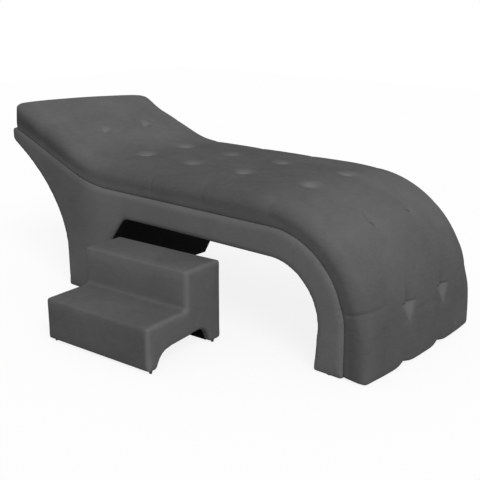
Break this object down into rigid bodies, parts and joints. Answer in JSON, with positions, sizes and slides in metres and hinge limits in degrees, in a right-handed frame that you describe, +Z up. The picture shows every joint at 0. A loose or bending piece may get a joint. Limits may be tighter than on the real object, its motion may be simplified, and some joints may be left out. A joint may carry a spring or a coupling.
{
  "type": "beauty treatment bed",
  "caption": "Fixed curved treatment bed with a raised head, a foot end that rounds down to the floor, a deep tufted cushion and a matching two-step stool.",
  "frame": {"origin": "on the floor, under the middle of the set's bounding box", "axes": "+X along the bed from the raised head to the foot end, +Y across the bed away from the step stool, +Z up"},
  "size_m": [1.9052, 1.1842, 0.7685],
  "materials": {
    "velvet": "charcoal short-pile velvet",
    "foam": "open-cell upholstery foam",
    "plywood": "raw birch plywood",
    "pine": "planed softwood",
    "black_cloth": "thin black upholsterer's bottom cloth",
    "tuft_button": "cloth-covered button on twine",
    "black_plastic": "black moulded nail-on glide"
  },
  "bodies": {
    "bed": {"side_cover_near": "velvet", "side_cover_far": "velvet", "side_pad_near": "foam", "side_pad_far": "foam", "side_panel_near": "plywood", "side_panel_far": "plywood", "cross_rail_1": "pine", "cross_rail_2": "pine", "cross_rail_3": "pine", "cross_rail_4": "pine", "cross_rail_5": "pine", "cross_rail_6": "pine", "cross_rail_7": "pine", "cross_rail_8": "pine", "knee_rail": "pine", "head_leg_rail": "pine", "centre_rib": "plywood", "deck_board": "plywood", "head_back_board": "plywood", "head_end_cover": "velvet", "underside_lining": "black_cloth", "cushion_cover": "velvet", "cushion_foam": "foam", "tuft_tie_near_1": "tuft_button", "tuft_tie_near_2": "tuft_button", "tuft_tie_near_3": "tuft_button", "tuft_tie_near_4": "tuft_button", "tuft_tie_near_5": "tuft_button", "tuft_tie_near_6": "tuft_button", "tuft_tie_near_7": "tuft_button", "tuft_tie_far_1": "tuft_button", "tuft_tie_far_2": "tuft_button", "tuft_tie_far_3": "tuft_button", "tuft_tie_far_4": "tuft_button", "tuft_tie_far_5": "tuft_button", "tuft_tie_far_6": "tuft_button", "tuft_tie_far_7": "tuft_button", "bed_glide_head_near": "black_plastic", "bed_glide_head_far": "black_plastic", "bed_glide_foot_near": "black_plastic", "bed_glide_foot_far": "black_plastic"},
    "step_stool": {"stool_cover": "velvet", "stool_side_right": "plywood", "stool_side_left": "plywood", "stool_pad_lower": "foam", "stool_pad_upper": "foam", "stool_riser_lower": "plywood", "stool_riser_upper": "plywood", "stool_tread_lower": "plywood", "stool_tread_upper": "plywood", "stool_back_board": "plywood", "stool_lining": "black_cloth", "stool_glide_front_right": "black_plastic", "stool_glide_front_left": "black_plastic", "stool_glide_back_right": "black_plastic", "stool_glide_back_left": "black_plastic"}
  },
  "joints": [
    {"name": "stool_push_in", "type": "slide", "parent": "bed", "child": "step_stool", "axis": [-0.0718, 0.9974, 0], "range_m": [-0.3, 0.42]}
  ]
}
